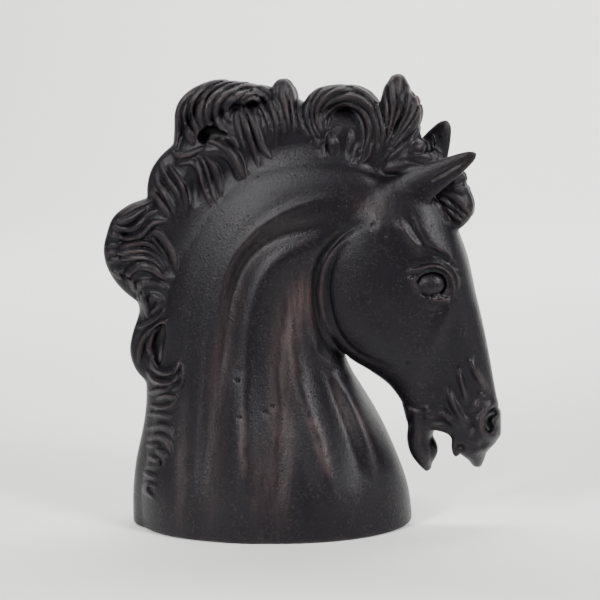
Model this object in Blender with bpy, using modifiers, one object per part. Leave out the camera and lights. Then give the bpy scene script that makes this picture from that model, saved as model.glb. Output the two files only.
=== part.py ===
"""Horse head sculpture: one cast of a horse's head, neck and mane, cut flat below the neck.

The horse looks along +X and the cut stands on z = 0. The forms are a sculptor's: each one is set
out in hundredths of the sculpture's height, in the side view (x forwards, z up), with a half
width or a depth across (y). Nothing moves, and the cast is one solid.
"""

import math

import bpy
import bmesh
import numpy as np
from mathutils import Matrix, Vector

# Driving dimensions, in metres
HEIGHT = 0.500             # from the underside to the top of the mane
CASTING_GRAIN = 0.0024     # smallest form that the solid keeps
BLEND_PASSES = 3           # how far the joins between forms are softened
FACE_SHARE = 0.0385        # share of the fine faces that the finished solid keeps

# Driving shares of the height, in hundredths
NECK_WIDTH = 37.2          # across the cut neck
EYE_RADIUS = 2.7
EYE_GROOVE = 0.8           # radius of the groove round each eye
NOSTRIL_LENGTH = 6.0
EAR_LENGTH = 22.6
EAR_WIDTH = 8.2

UNIT = HEIGHT / 100

# Neck from the cut to the poll: back x z, front x z, half width, power of the section's curve
NECK = (
    (-31.0, -4.0, 31.0, -4.0, NECK_WIDTH / 2, 2.1),
    (-31.5, 3.0, 31.3, 3.0, NECK_WIDTH / 2, 2.1),
    (-31.0, 10.0, 30.2, 10.0, 17.6, 2.1),
    (-29.0, 20.0, 26.3, 20.0, 15.2, 2.0),
    (-27.0, 30.0, 20.6, 30.0, 13.0, 2.0),
    (-25.5, 40.0, 17.5, 39.0, 11.6, 2.1),
    (-24.5, 51.0, 17.5, 47.0, 10.8, 2.1),
    (-21.0, 63.0, 19.5, 54.0, 10.2, 2.1),
    (-14.0, 74.0, 23.0, 60.0, 9.6, 2.1),
    (-4.0, 81.5, 26.5, 63.0, 8.8, 2.1),
    (8.0, 84.5, 30.0, 66.0, 7.8, 2.1),
    (19.0, 83.0, 32.5, 69.0, 6.6, 2.1),
    (27.0, 78.5, 33.0, 73.0, 4.8, 2.0),
)

# Head from the poll to the lips
HEAD = (
    (24.0, 78.0, 32.0, 79.0, 3.5, 2.0),
    (19.0, 73.0, 38.0, 75.5, 7.0, 2.2),
    (15.5, 66.0, 42.3, 69.5, 8.6, 2.5),
    (13.3, 59.0, 44.0, 63.5, 9.3, 2.6),
    (13.0, 51.5, 45.8, 56.5, 9.4, 2.7),
    (14.5, 44.5, 47.5, 49.5, 8.6, 2.6),
    (18.5, 38.5, 48.8, 43.0, 7.6, 2.5),
    (23.5, 35.0, 49.8, 37.0, 6.6, 2.4),
    (27.5, 31.8, 50.6, 31.5, 5.8, 2.3),
    (30.3, 27.8, 51.5, 26.8, 5.5, 2.3),
    (31.6, 24.0, 52.0, 22.6, 5.4, 2.2),
    (33.5, 22.6, 51.6, 20.2, 4.6, 2.1),
)

# Upper lip, in front of the open mouth
UPPER_LIP = (
    (36.5, 24.5, 51.8, 25.0, 5.2, 2.3),
    (39.0, 21.0, 52.0, 21.5, 5.5, 2.3),
    (40.3, 18.6, 50.8, 18.6, 5.2, 2.2),
    (42.0, 16.8, 48.8, 16.4, 4.3, 2.2),
    (44.4, 14.8, 48.0, 14.4, 2.9, 2.0),
    (45.6, 13.2, 47.4, 13.0, 1.6, 2.0),
)

# Lower jaw and its lip, behind the open mouth
LOWER_LIP = (
    (30.8, 27.0, 38.5, 25.0, 4.6, 2.2),
    (31.4, 22.8, 37.6, 22.0, 4.4, 2.2),
    (31.3, 19.0, 36.6, 19.6, 4.1, 2.3),
    (32.0, 16.0, 37.0, 17.0, 3.8, 2.3),
    (33.6, 13.6, 37.2, 14.6, 3.2, 2.2),
    (35.2, 12.0, 36.6, 12.4, 2.0, 2.0),
)

# Crest that the mane's locks lie on, from the poll down the back of the neck
CREST = (
    (36.5, 85.0, 32.0, 78.0, 3.0, 2.2),
    (33.5, 92.5, 27.0, 79.0, 4.2, 2.2),
    (23.0, 94.0, 21.0, 79.0, 4.2, 2.4),
    (13.5, 94.5, 13.0, 79.0, 4.6, 2.4),
    (4.5, 95.5, 6.0, 79.0, 5.0, 2.4),
    (-6.0, 95.5, 0.0, 78.0, 5.4, 2.4),
    (-14.5, 91.0, -5.0, 75.0, 5.8, 2.4),
    (-20.0, 82.0, -9.0, 71.0, 6.3, 2.4),
    (-24.8, 73.0, -13.0, 66.0, 6.5, 2.4),
    (-32.0, 66.0, -16.0, 60.0, 6.0, 2.4),
    (-32.0, 58.0, -19.0, 54.0, 5.4, 2.4),
    (-29.0, 50.0, -19.0, 47.0, 4.6, 2.4),
    (-29.3, 40.0, -19.0, 38.0, 4.0, 2.4),
    (-28.2, 31.0, -20.0, 29.0, 3.6, 2.2),
    (-28.8, 23.5, -22.0, 23.0, 3.6, 2.2),
    (-31.5, 14.0, -24.0, 14.0, 4.2, 2.2),
    (-32.5, 4.0, -26.0, 4.0, 5.5, 2.2),
    (-32.3, -3.0, -26.0, -3.0, 6.5, 2.2),
)

# Locks of the mane: depth from the middle plane, radius, then x and z along the lock.
# A lock with a depth is made on both sides, and one without lies on the middle plane.
LOCKS = {
    "topknot": (0.8, 3.1, ((29, 79), (30, 86.5), (31.2, 94), (31.9, 98.9))),
    "topknot lobe": (2.2, 2.2, ((30, 80), (33, 86.5), (34.5, 91), (34.2, 95.2))),
    "fan upper": (3.8, 1.5, ((28.5, 81.5), (32.5, 83.5), (37.5, 87))),
    "fan lower": (4.2, 1.5, ((30.5, 80.5), (35, 81.5), (38.5, 84))),
    "wave": (2.2, 2.5, ((27.3, 78.5), (27.7, 86), (25.3, 92.6), (20.5, 95.5), (15.5, 95.2),
                        (12.6, 91.3), (13.8, 85.5))),
    "wave strand": (4.2, 1.3, ((22, 91), (22, 85.5), (20.3, 81))),
    "wave fall": (4.2, 1.3, ((25, 91), (25, 86.5), (23, 80.5))),
    "upright": (1.5, 3.3, ((8, 81.5), (7, 88.5), (6.5, 94), (6.7, 99))),
    "upright side": (3.8, 1.5, ((11, 96), (11, 90.5), (13.3, 84.5))),
    "roll outer": (1.5, 2.4, ((5, 96.2), (-3, 97.6), (-9.5, 97.8), (-13.7, 95), (-15.8, 90.5),
                              (-16.8, 84))),
    "roll middle": (4.2, 2.0, ((1.5, 95.5), (-5, 96.5), (-9, 94.5), (-11.7, 90.5), (-12.7, 86))),
    "roll inner": (5.2, 1.7, ((1, 95.5), (-4, 94.3), (-6, 91.5), (-6.7, 87.5))),
    "smooth": (5.8, 1.5, ((-11, 86), (-6.5, 86), (-4, 84), (-2.2, 78.5))),
    "straight back": (5.2, 1.3, ((-3.3, 94.5), (-1, 87.5), (1.8, 81))),
    "straight middle": (5.2, 1.3, ((-0.7, 96), (2, 89), (3.8, 81.5))),
    "straight front": (4.5, 1.5, ((1.5, 96.3), (5, 91.5), (6.8, 86.5))),
    "left outer": (2.0, 3.0, ((-15.5, 86.5), (-19.8, 81.7), (-22, 77.3), (-23, 70.5))),
    "left brow": (5.8, 1.5, ((-20, 83), (-16, 84), (-12.5, 83), (-11.2, 78.5))),
    "left fall front": (6.5, 1.4, ((-12.2, 84), (-10, 79), (-8.3, 71.5))),
    "left fall back": (6.0, 1.5, ((-20.5, 82.5), (-18, 77.5), (-15, 71.5))),
    "swirl top": (2.2, 2.7, ((-19.5, 72.5), (-25.5, 72), (-31, 69.5), (-33.5, 65))),
    "swirl hook": (5.5, 1.6, ((-22.5, 72), (-26, 68.5), (-29.5, 68), (-32.7, 69.3))),
    "swirl upper": (4.6, 1.7, ((-34.3, 64.5), (-28, 64.5), (-24, 63), (-19.5, 58.5))),
    "swirl lower": (4.6, 1.7, ((-34.3, 60), (-27.5, 61.3), (-23.5, 60), (-19.5, 56))),
    "swirl leaf": (6.8, 1.4, ((-24.5, 67), (-21.5, 63.5), (-18.5, 57.5))),
    "swirl back": (1.4, 2.9, ((-32.3, 69), (-33.8, 63), (-32.3, 58), (-28.5, 52.5))),
    "swirl end": (4.3, 1.6, ((-32, 55.5), (-27, 58.5), (-23.5, 57.5), (-19.5, 55.5))),
    "swirl tail": (3.8, 1.6, ((-28.5, 50.5), (-26.5, 54.5), (-23.5, 54.5), (-20, 53))),
    "ring inner": (4.0, 1.4, ((-20.8, 49.5), (-25.5, 44), (-26.7, 39), (-23.5, 35.8), (-19, 36.5))),
    "ring outer": (1.3, 2.3, ((-26.5, 50), (-29, 43), (-29.4, 38.5), (-26.7, 34.5), (-20, 32.7))),
    "low first": (3.2, 1.6, ((-27, 31.3), (-23.5, 30.3), (-19.5, 31))),
    "low second": (3.2, 1.6, ((-27.7, 27), (-24, 26.5), (-20.5, 26.8))),
    "low third": (3.2, 1.5, ((-28.7, 22.8), (-25, 22.7), (-22, 19))),
    "low fourth": (3.2, 1.4, ((-29.3, 17.7), (-26, 17.7), (-23.7, 14))),
    "low fifth": (3.6, 1.2, ((-30.3, 12.5), (-27.5, 12), (-25.7, 14))),
    "forelock top": (2.2, 1.8, ((37, 79.5), (41.5, 79.3), (45.3, 75.7))),
    "forelock middle": (3.2, 1.7, ((37, 77), (42, 74.7), (46.5, 70.3))),
    "forelock low": (3.4, 1.6, ((36, 75), (41, 71), (45, 66.8))),
    "forelock line": (0.0, 2.2, ((36.5, 80), (43, 76.5), (46, 70.5), (44.3, 65.5))),
}

# Long muscles of the neck, laid on its skin: radius, how far it stands out, then x and z
MUSCLES = {
    "nape edge": (1.8, 0.8, ((-8.5, 40), (-7, 52.5), (-3.6, 62), (4.3, 69.5), (15.7, 73.7))),
    "long muscle": (3.4, 1.0, ((-3.4, 1.5), (-3.6, 24.5), (-2, 46), (4.5, 59.5), (15, 65))),
    "throat muscle": (3.4, 1.0, ((16.8, 2), (12.4, 29), (10, 45), (11.5, 52))),
    "windpipe": (2.2, 0.5, ((26.2, 7), (23.5, 17), (18.3, 28.8), (15.2, 38))),
}

# Hollows under the curled locks, on both sides: middle x y z, then half sizes
MANE_HOLLOWS = {
    "under the wave": ((21.0, 4.9, 88.0), (3.6, 2.4, 3.8)),
    "under the roll": ((-8.3, 5.4, 88.6), (2.6, 1.8, 1.5)),
}

# Bones and folds of the face, laid on the skin: depth, radius, then x and z
RIDGES = {
    "brow": (7.4, 1.4, ((32.5, 69.5), (36, 62), (39.8, 59.2), (42.6, 57.3), (43.2, 53.5))),
    "cheek bone": (7.2, 1.5, ((42.8, 53), (41, 49), (38.5, 45.5), (36.5, 40.5))),
    "cheek edge": (6.6, 2.0, ((24, 70), (17.8, 65), (15, 60), (14.2, 54), (14.4, 48), (16.4, 42.5),
                              (22, 38.3))),
    "nostril rim": (4.5, 1.0, ((48.7, 19.6), (46.8, 22.5), (47.3, 26.8), (49.8, 28.5), (51.2, 25.5))),
    "lip fold": (4.7, 0.9, ((42.7, 31), (43.8, 24.5), (45.3, 19.3))),
    "lip corner": (3.6, 1.0, ((41.7, 21), (41.2, 18), (41.2, 14.4))),
    "lower eyelid": (8.1, 0.7, ((35.2, 54.6), (38, 51.4), (41, 51.2), (42.3, 54))),
}

# Eye, nostril and ear: the side view x and z with the depth between them, as one point
EYE = (38.7, 6.7, 54.3)
NOSTRIL = (49.4, 4.6, 24.3)
NOSTRIL_TILT = 62.0        # of its long axis from level, in degrees
NOSTRIL_RADIUS = 1.5
EAR_HOLLOW = 0.55          # share of the ear's width that its hollow takes
HOLLOW_PLACE = 0.56        # share of the ear's length at the hollow's middle
HOLLOW_REACH = 0.36        # share of the ear's length that half the hollow takes
HOLLOW_DROP = 0.36         # share of the ear's width from its axis down to the hollow's
HOLLOW_ASIDE = 0.3         # how much further out than the ear's axis the hollow's is

# Ear from its root to its tip: share of the length, share of the width, share of it that is thick
EAR = ((0.0, 1.1, 0.5), (0.2, 1.12, 0.5), (0.45, 1.0, 0.48), (0.7, 0.78, 0.46), (0.88, 0.52, 0.46),
       (0.97, 0.28, 0.5), (1.0, 0.06, 0.5))

# Both ears: side, root x y z, tilt from level and splay outwards in degrees, share of the full length
EARS = (
    (-1, (30.0, 5.0, 70.6), 30.5, 4.0, 1.0),
    (1, (34.5, 5.5, 74.5), 57.0, 6.0, 0.74),
)


def curve_through(points, count):
    """Evenly numbered points on a smooth (Catmull-Rom) curve through the given ones."""
    known = np.asarray(points, float)
    known = np.vstack((2 * known[0] - known[1], known, 2 * known[-1] - known[-2]))
    place = np.linspace(0, len(known) - 3 - 1e-9, count)
    start = place.astype(int)
    part = (place - start)[:, None]
    a, b, c, d = (known[start + k] for k in range(4))
    return 0.5 * (2 * b + (c - a) * part + (2 * a - 5 * b + 4 * c - d) * part**2
                  + (3 * b - a - 3 * c + d) * part**3)


def mesh_of(shape, name):
    """Mesh made from a bmesh, with its faces pointing outwards."""
    bmesh.ops.recalc_face_normals(shape, faces=shape.faces)
    mesh = bpy.data.meshes.new(name)
    shape.to_mesh(mesh)
    shape.free()
    return mesh


def loft(rows, stations=90, around=48):
    """Closed skin over sections that each span a back and a front point of the side view."""
    back_x, back_z, front_x, front_z, half_width, power = curve_through(rows, stations).T[:, :, None]
    angle = np.linspace(0, 2 * math.pi, around, endpoint=False)
    along = np.sign(np.cos(angle)) * np.abs(np.cos(angle)) ** (2 / power)
    across = np.sign(np.sin(angle)) * np.abs(np.sin(angle)) ** (2 / power)
    x = (back_x + front_x) / 2 + (front_x - back_x) / 2 * along
    z = (back_z + front_z) / 2 + (front_z - back_z) / 2 * along
    rings = np.stack((x, half_width * across, z), axis=-1) * UNIT
    shape = bmesh.new()
    loops = [[shape.verts.new(point) for point in ring] for ring in rings]
    for lower, upper in zip(loops, loops[1:]):
        for k in range(around):
            after = (k + 1) % around
            shape.faces.new((lower[k], lower[after], upper[after], upper[k]))
    shape.faces.new(loops[0])
    shape.faces.new(loops[-1])
    return mesh_of(shape, "loft")


def swept(path, radius, steps=14, blunt=0.3):
    """Closed round lock along a smooth path, full in the middle and drawn in at both ends."""
    curve = bpy.data.curves.new("lock", "CURVE")
    curve.dimensions = "3D"
    curve.bevel_depth = UNIT
    curve.bevel_resolution = 3
    curve.use_fill_caps = True
    spline = curve.splines.new("POLY")
    spline.points.add(steps - 1)
    share = np.linspace(0, 1, steps)
    swell = radius * np.sin(math.pi * np.clip(share, 0.01, 0.99)) ** blunt
    for point, place, size in zip(spline.points, curve_through(path, steps) * UNIT, swell):
        point.co = (*place, 1.0)
        point.radius = size
    holder = bpy.data.objects.new("lock", curve)
    bpy.context.scene.collection.objects.link(holder)
    drawn = holder.evaluated_get(bpy.context.evaluated_depsgraph_get())
    mesh = bpy.data.meshes.new_from_object(drawn)
    bpy.data.objects.remove(holder)
    shape = bmesh.new()
    shape.from_mesh(mesh)
    bmesh.ops.remove_doubles(shape, verts=shape.verts, dist=1e-6)
    return mesh_of(shape, "lock")


def both_sides(depth):
    """The sides of the middle plane that a form with this depth is made on."""
    return (-1, 1) if depth else (0,)


def laid(forms):
    """One lock or ridge for each row of a table, on both sides where it has a depth."""
    return [swept([(x, side * depth, z) for x, z in path], radius)
            for depth, radius, path in forms.values() for side in both_sides(depth)]


def neck_depth(x, z):
    """Half width of the neck at a point of the side view."""
    back_x, back_z, front_x, front_z, half_width, power = curve_through(NECK, 400).T
    offset_x = x - (back_x + front_x) / 2
    offset_z = z - (back_z + front_z) / 2
    half_x = (front_x - back_x) / 2
    half_z = (front_z - back_z) / 2
    reach = np.hypot(half_x, half_z)
    along = (offset_x * half_x + offset_z * half_z) / reach**2
    aside = np.abs(offset_x * half_z - offset_z * half_x) / reach
    row = np.argmin(np.where(np.abs(along) < 1, aside, np.inf))
    return half_width[row] * (1 - abs(along[row]) ** power[row]) ** (1 / power[row])


def on_neck():
    """The long muscles, each sunk into the neck's skin until only its rise stands out."""
    return [swept([(x, side * (neck_depth(x, z) + rise - radius), z) for x, z in path], radius)
            for radius, rise, path in MUSCLES.values() for side in (-1, 1)]


def placed(shape, centre, tilt, splay):
    """The shape turned up by tilt and outwards by splay, in degrees, and moved to its centre."""
    turn = Matrix.Rotation(math.radians(splay), 4, "Z") @ Matrix.Rotation(math.radians(-tilt), 4, "Y")
    move = Matrix.Translation(Vector(centre) * UNIT) @ turn @ Matrix.Scale(UNIT, 4)
    bmesh.ops.transform(shape, matrix=move, verts=shape.verts)


def ball(centre, radii, tilt=0.0, splay=0.0):
    """Closed ellipsoid with its long axis tilted in the side view and splayed outwards."""
    shape = bmesh.new()
    bmesh.ops.create_uvsphere(shape, u_segments=28, v_segments=16, radius=1.0)
    bmesh.ops.scale(shape, vec=radii, verts=shape.verts)
    placed(shape, centre, tilt, splay)
    return mesh_of(shape, "ball")


def ear(side, root, tilt, splay, length_share):
    """Leaf-shaped ear, broad near its root and drawn out to a point, before it is hollowed."""
    length = EAR_LENGTH * length_share
    share, width, thickness = curve_through(EAR, 24).T
    shape = bmesh.new()
    angle = np.linspace(0, 2 * math.pi, 24, endpoint=False)
    loops = []
    for place, broad, flat in zip(share * length, width * EAR_WIDTH / 2, thickness):
        ring = [(place, flat * broad * math.sin(turn), broad * math.cos(turn)) for turn in angle]
        loops.append([shape.verts.new(point) for point in ring])
    for lower, upper in zip(loops, loops[1:]):
        for k in range(len(angle)):
            after = (k + 1) % len(angle)
            shape.faces.new((lower[k], lower[after], upper[after], upper[k]))
    shape.faces.new(loops[0])
    shape.faces.new(loops[-1])
    placed(shape, (root[0], side * root[1], root[2]), tilt, side * splay)
    return mesh_of(shape, "ear")


def ear_hollow(side, root, tilt, splay, length_share):
    """Spindle that hollows the ear along its front edge."""
    length = EAR_LENGTH * length_share
    rise = math.radians(tilt)
    along = HOLLOW_PLACE * length
    drop = HOLLOW_DROP * EAR_WIDTH
    centre = (root[0] + along * math.cos(rise) + drop * math.sin(rise),
              side * (root[1] + HOLLOW_ASIDE),
              root[2] + along * math.sin(rise) - drop * math.cos(rise))
    radii = (HOLLOW_REACH * length, EAR_HOLLOW * EAR_WIDTH / 4, EAR_HOLLOW * EAR_WIDTH / 2)
    return ball(centre, radii, tilt, side * splay)


def ring_round(centre, radius, groove):
    """Ring whose axis points across, which cuts the groove round an eye."""
    around, about = 32, 10
    turn = np.linspace(0, 2 * math.pi, around, endpoint=False)[:, None]
    roll = np.linspace(0, 2 * math.pi, about, endpoint=False)[None, :]
    reach = radius + groove * np.cos(roll)
    points = np.stack((reach * np.cos(turn), np.broadcast_to(groove * np.sin(roll), (around, about)),
                       reach * np.sin(turn)), axis=-1)
    shape = bmesh.new()
    loops = [[shape.verts.new(point) for point in ring] for ring in points]
    for i, ring in enumerate(loops):
        later = loops[(i + 1) % around]
        for k in range(about):
            after = (k + 1) % about
            shape.faces.new((ring[k], ring[after], later[after], later[k]))
    placed(shape, centre, 0, 0)
    return mesh_of(shape, "ring")


def gathered(name, meshes, collection):
    """One object that holds all the given shapes, still as separate closed shells."""
    shape = bmesh.new()
    for mesh in meshes:
        shape.from_mesh(mesh)
        bpy.data.meshes.remove(mesh)
    whole = bpy.data.meshes.new(name)
    shape.to_mesh(whole)
    shape.free()
    thing = bpy.data.objects.new(name, whole)
    collection.objects.link(thing)
    return thing


def new_collection(name):
    collection = bpy.data.collections.new(name)
    bpy.context.scene.collection.children.link(collection)
    return collection


def cutter(name, mesh, collection):
    """Guide object that only cuts: drawn as wires and never rendered."""
    thing = bpy.data.objects.new(name, mesh)
    collection.objects.link(thing)
    thing.hide_render = True
    thing.display_type = "WIRE"
    return thing


def cut(thing, tool):
    """Booleans the tool out of the thing."""
    step = thing.modifiers.new(tool.name, "BOOLEAN")
    step.operation = "DIFFERENCE"
    step.solver = "EXACT"
    step.object = tool


def carved(mesh, tools):
    """The mesh with every tool cut out of it, for a form that is carved before it is fused."""
    form = bpy.data.objects.new("form", mesh)
    bpy.context.scene.collection.objects.link(form)
    for tool in tools:
        cut(form, tool)
    drawn = form.evaluated_get(bpy.context.evaluated_depsgraph_get())
    result = bpy.data.meshes.new_from_object(drawn)
    bpy.data.objects.remove(form)
    return result


def cast_stone():
    """Near-black cast stone with a satin rubbed finish."""
    material = bpy.data.materials.new("black cast stone")
    material.use_nodes = True
    shader = material.node_tree.nodes["Principled BSDF"]
    shader.inputs["Base Color"].default_value = (0.024, 0.020, 0.022, 1.0)
    shader.inputs["Roughness"].default_value = 0.42
    shader.inputs["Metallic"].default_value = 0.0
    return material


def ground_cutter(collection):
    """Block under z = 0 that cuts the neck off flat."""
    shape = bmesh.new()
    bmesh.ops.create_cube(shape, size=2 * HEIGHT, matrix=Matrix.Translation((0, 0, -HEIGHT)))
    return cutter("flat underside", mesh_of(shape, "ground"), collection)


def mane_cutters(collection):
    """Hollows of the crest, under the wave and under the roll."""
    return [cutter(f"{'near' if side < 0 else 'far'} hollow {name}",
                   ball((centre[0], side * centre[1], centre[2]), radii), collection)
            for name, (centre, radii) in MANE_HOLLOWS.items() for side in (-1, 1)]


def face_cutters(collection):
    """Grooves round the eyes and the two nostrils."""
    tools = []
    for side in (-1, 1):
        word = "near" if side < 0 else "far"
        socket = (EYE[0], side * (EYE[1] + EYE_RADIUS - EYE_GROOVE), EYE[2])
        groove = ring_round(socket, EYE_RADIUS, EYE_GROOVE)
        tools.append(cutter(f"{word} eye groove", groove, collection))
        nostril = (NOSTRIL[0], side * NOSTRIL[1], NOSTRIL[2])
        size = (NOSTRIL_LENGTH / 2, NOSTRIL_RADIUS, NOSTRIL_RADIUS)
        tools.append(cutter(f"{word} nostril", ball(nostril, size, NOSTRIL_TILT), collection))
    return tools


def main():
    for thing in list(bpy.data.objects):
        bpy.data.objects.remove(thing)
    sculpture = new_collection("horse head sculpture")
    cutters = new_collection("cutters")

    face_tools = face_cutters(cutters)
    forms = [loft(NECK), carved(loft(CREST), mane_cutters(cutters)), loft(LOWER_LIP)]
    forms += [carved(loft(rows), face_tools) for rows in (HEAD, UPPER_LIP)]
    forms += [ball((EYE[0], side * EYE[1], EYE[2]), (EYE_RADIUS,) * 3) for side in (-1, 1)]
    forms += laid(LOCKS)
    forms += laid(RIDGES)
    forms += on_neck()
    for row in EARS:
        word = "near" if row[0] < 0 else "far"
        hollow = cutter(f"{word} ear hollow", ear_hollow(*row), cutters)
        forms.append(carved(ear(*row), [hollow]))
    horse = gathered("horse_head", forms, sculpture)
    horse.data.materials.append(cast_stone())

    fuse = horse.modifiers.new("fuse the forms", "REMESH")
    fuse.mode = "VOXEL"
    fuse.voxel_size = CASTING_GRAIN
    soften = horse.modifiers.new("soften the joins", "SMOOTH")
    soften.factor = 0.5
    soften.iterations = BLEND_PASSES
    thin = horse.modifiers.new("plain facets", "DECIMATE")
    thin.ratio = FACE_SHARE
    cut(horse, ground_cutter(cutters))


main()
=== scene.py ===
"""Horse head sculpture in black cast stone: the finished surface of the cast, a floor, light and a camera.

The sculpture is worked as a sculptor works clay. A block of small cells holds, at each cell, the
distance to the skin. Lofts and locks are melted into it, folds and muscles are stroked up or
down, and hollows are sunk. The skin is then drawn off as one closed mesh.

Forms are set out in hundredths of the sculpture's height, in the side view (x forwards, z up),
with y across. Strands and wrinkles are set out in the pixels of the 600 by 600 view that the
camera sees, and are laid on the skin where the eye finds them.
"""

import math

import bpy
import numpy as np
import openvdb
from bpy.props import FloatProperty, FloatVectorProperty, IntProperty, PointerProperty
from mathutils import Matrix, Vector


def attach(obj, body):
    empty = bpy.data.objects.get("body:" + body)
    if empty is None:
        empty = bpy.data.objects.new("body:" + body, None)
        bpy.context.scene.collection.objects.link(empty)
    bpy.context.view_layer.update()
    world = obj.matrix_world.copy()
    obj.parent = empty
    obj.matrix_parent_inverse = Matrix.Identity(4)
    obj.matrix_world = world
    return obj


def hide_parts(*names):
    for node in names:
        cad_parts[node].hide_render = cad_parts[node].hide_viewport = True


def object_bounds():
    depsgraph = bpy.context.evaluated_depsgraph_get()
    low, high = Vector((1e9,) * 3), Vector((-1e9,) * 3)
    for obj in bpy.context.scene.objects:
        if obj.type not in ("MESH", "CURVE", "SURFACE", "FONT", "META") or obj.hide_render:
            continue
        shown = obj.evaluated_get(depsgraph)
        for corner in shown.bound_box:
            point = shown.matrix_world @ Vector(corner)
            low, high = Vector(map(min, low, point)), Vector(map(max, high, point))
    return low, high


bl_info = {
    "name": "Horse head sculpture",
    "version": (1, 0, 0),
    "blender": (4, 5, 0),
    "location": "3D View > Sidebar > Horse head",
    "description": "A horse's head and neck in black cast stone, with its mane carved strand by strand",
    "category": "Add Mesh",
}

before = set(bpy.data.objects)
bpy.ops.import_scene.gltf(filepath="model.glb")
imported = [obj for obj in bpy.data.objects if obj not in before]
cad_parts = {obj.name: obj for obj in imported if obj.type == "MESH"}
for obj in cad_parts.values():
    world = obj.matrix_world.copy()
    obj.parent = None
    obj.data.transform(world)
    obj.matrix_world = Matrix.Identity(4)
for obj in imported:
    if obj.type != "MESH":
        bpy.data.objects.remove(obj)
CAD_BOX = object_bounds()

# Sculpture's height and the length that one hundredth of it stands for, in metres
HEIGHT = 0.500
UNIT = HEIGHT / 100

# Eye that looks at the sculpture: turn, rise and roll in degrees, how far off and at what, in metres
VIEW_TURN = 11.0
VIEW_RISE = 9.0
VIEW_ROLL = 2.6
VIEW_DISTANCE = 1.7
VIEW_TARGET = (0.041, 0.0, 0.2535)

# Metres that one pixel spans at that distance, pixels across the view, and sensor's width in mm
VIEW_PIXEL = 0.001114
VIEW_SIZE = 600
SENSOR = 36.0

# Paper sweep in metres: front edge, where it starts to bend, the bend's radius, top and half its width
PAPER_FRONT = -6.0
PAPER_BACK = 3.0
PAPER_BEND = 1.5
PAPER_TOP = 5.0
PAPER_SIDE = 8.0

# Lights: place, width and height in metres, watts, spread in degrees (60 with a grid) and what they face
LIGHTS = {
    "left": ((-0.95, -1.4, 1.3), (0.45, 1.3), 6.6, 60, (0.0, 0.0, 0.22)),
    "right": ((1.5, -0.8, 1.25), (0.45, 1.3), 6.6, 60, (0.05, 0.0, 0.22)),
    "backdrop": ((0.0, 1.3, 3.2), (5.0, 1.0), 420.0, 180, (0.0, 4.2, 0.4)),
}
ROOM_LIGHT = 0.1

# Corners of the half block of clay on the eye's side, in hundredths of the height
CLAY_LOW = (-41.0, -23.0, -2.0)
CLAY_HIGH = (57.0, 1.0, 103.0)

# How far from the skin the clay's distances are true, and how far from it a relief is pressed
CLAY_REACH = 2.6
PRESS_REACH = 2.4

# Distance past which all cells count as alike when the skin is drawn off
SKIN_REACH = 3.0

# How far the skin keeps from the upright sides of the solid's box: 0.1 mm
BOX_GAP = 0.02

# Width over which each join is filled or each edge rounded, in hundredths of the height
SOFT = {"lips": 1.0, "head": 1.0, "crest": 4.0, "lock": 0.9, "hollow": 0.6, "hole": 0.25, "pit": 0.1,
        "mouth": 0.4, "lobe": 0.6, "socket": 0.15, "eyeball": 0.1, "lid": 0.3, "ear": 1.4, "furrow": 0.3,
        "cut": 0.9}

# Corners, in the view's pixels, of the parts that carry the mane, the face and the neck
MANE_VIEW = ((95, 65), (490, 515))
FACE_VIEW = ((300, 190), (515, 480))
NECK_VIEW = ((130, 160), (430, 580))


def view_axes():
    """The eye's place, and its right, up and forward directions."""
    turn, rise, roll = (math.radians(angle) for angle in (VIEW_TURN, VIEW_RISE, VIEW_ROLL))
    back = np.array((math.sin(turn) * math.cos(rise), -math.cos(turn) * math.cos(rise), math.sin(rise)))
    level = np.array((math.cos(turn), math.sin(turn), 0.0))
    upright = np.cross(level, -back)
    right = level * math.cos(roll) - upright * math.sin(roll)
    up = upright * math.cos(roll) + level * math.sin(roll)
    return np.array(VIEW_TARGET) + VIEW_DISTANCE * back, right, up, -back


# Forms in hundredths of the height

# Neck from the cut to the poll: back x z, front x z, half width, power of the section's curve
NECK = (
    (-31.0, -4.0, 31.2, -4.0, 18.7, 2.1),
    (-31.5, 3.0, 31.2, 3.0, 18.4, 2.1),
    (-31.0, 10.0, 30.1, 10.0, 17.5, 2.1),
    (-29.0, 20.0, 26.3, 20.0, 15.2, 2.0),
    (-27.0, 30.0, 20.6, 30.0, 13.0, 2.0),
    (-25.5, 40.0, 17.5, 39.0, 11.6, 2.1),
    (-24.5, 51.0, 17.5, 47.0, 10.8, 2.1),
    (-21.0, 63.0, 19.5, 54.0, 10.2, 2.1),
    (-14.0, 74.0, 23.0, 60.0, 9.6, 2.1),
    (-4.0, 81.5, 26.5, 63.0, 8.8, 2.1),
    (8.0, 84.5, 30.0, 66.0, 7.8, 2.1),
    (19.0, 83.0, 32.5, 69.0, 6.6, 2.1),
    (27.0, 78.5, 33.0, 73.0, 4.8, 2.0),
)

# Head from the poll to the lips
HEAD = (
    (24.0, 78.0, 32.0, 79.0, 3.5, 2.0),
    (19.0, 73.0, 38.0, 75.5, 7.0, 2.2),
    (15.5, 66.0, 42.3, 69.5, 8.6, 2.5),
    (13.3, 59.0, 44.0, 63.5, 9.3, 2.6),
    (13.0, 51.5, 45.8, 56.5, 9.4, 2.7),
    (14.5, 44.5, 47.5, 49.5, 8.6, 2.6),
    (18.5, 38.5, 48.8, 43.0, 7.6, 2.5),
    (23.5, 35.0, 49.8, 37.0, 6.6, 2.4),
    (27.5, 31.8, 50.6, 31.5, 5.8, 2.3),
    (30.3, 27.8, 51.3, 26.8, 5.5, 2.3),
    (31.6, 24.0, 51.7, 22.6, 5.4, 2.2),
    (33.5, 22.6, 51.4, 20.2, 4.6, 2.1),
)

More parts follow.
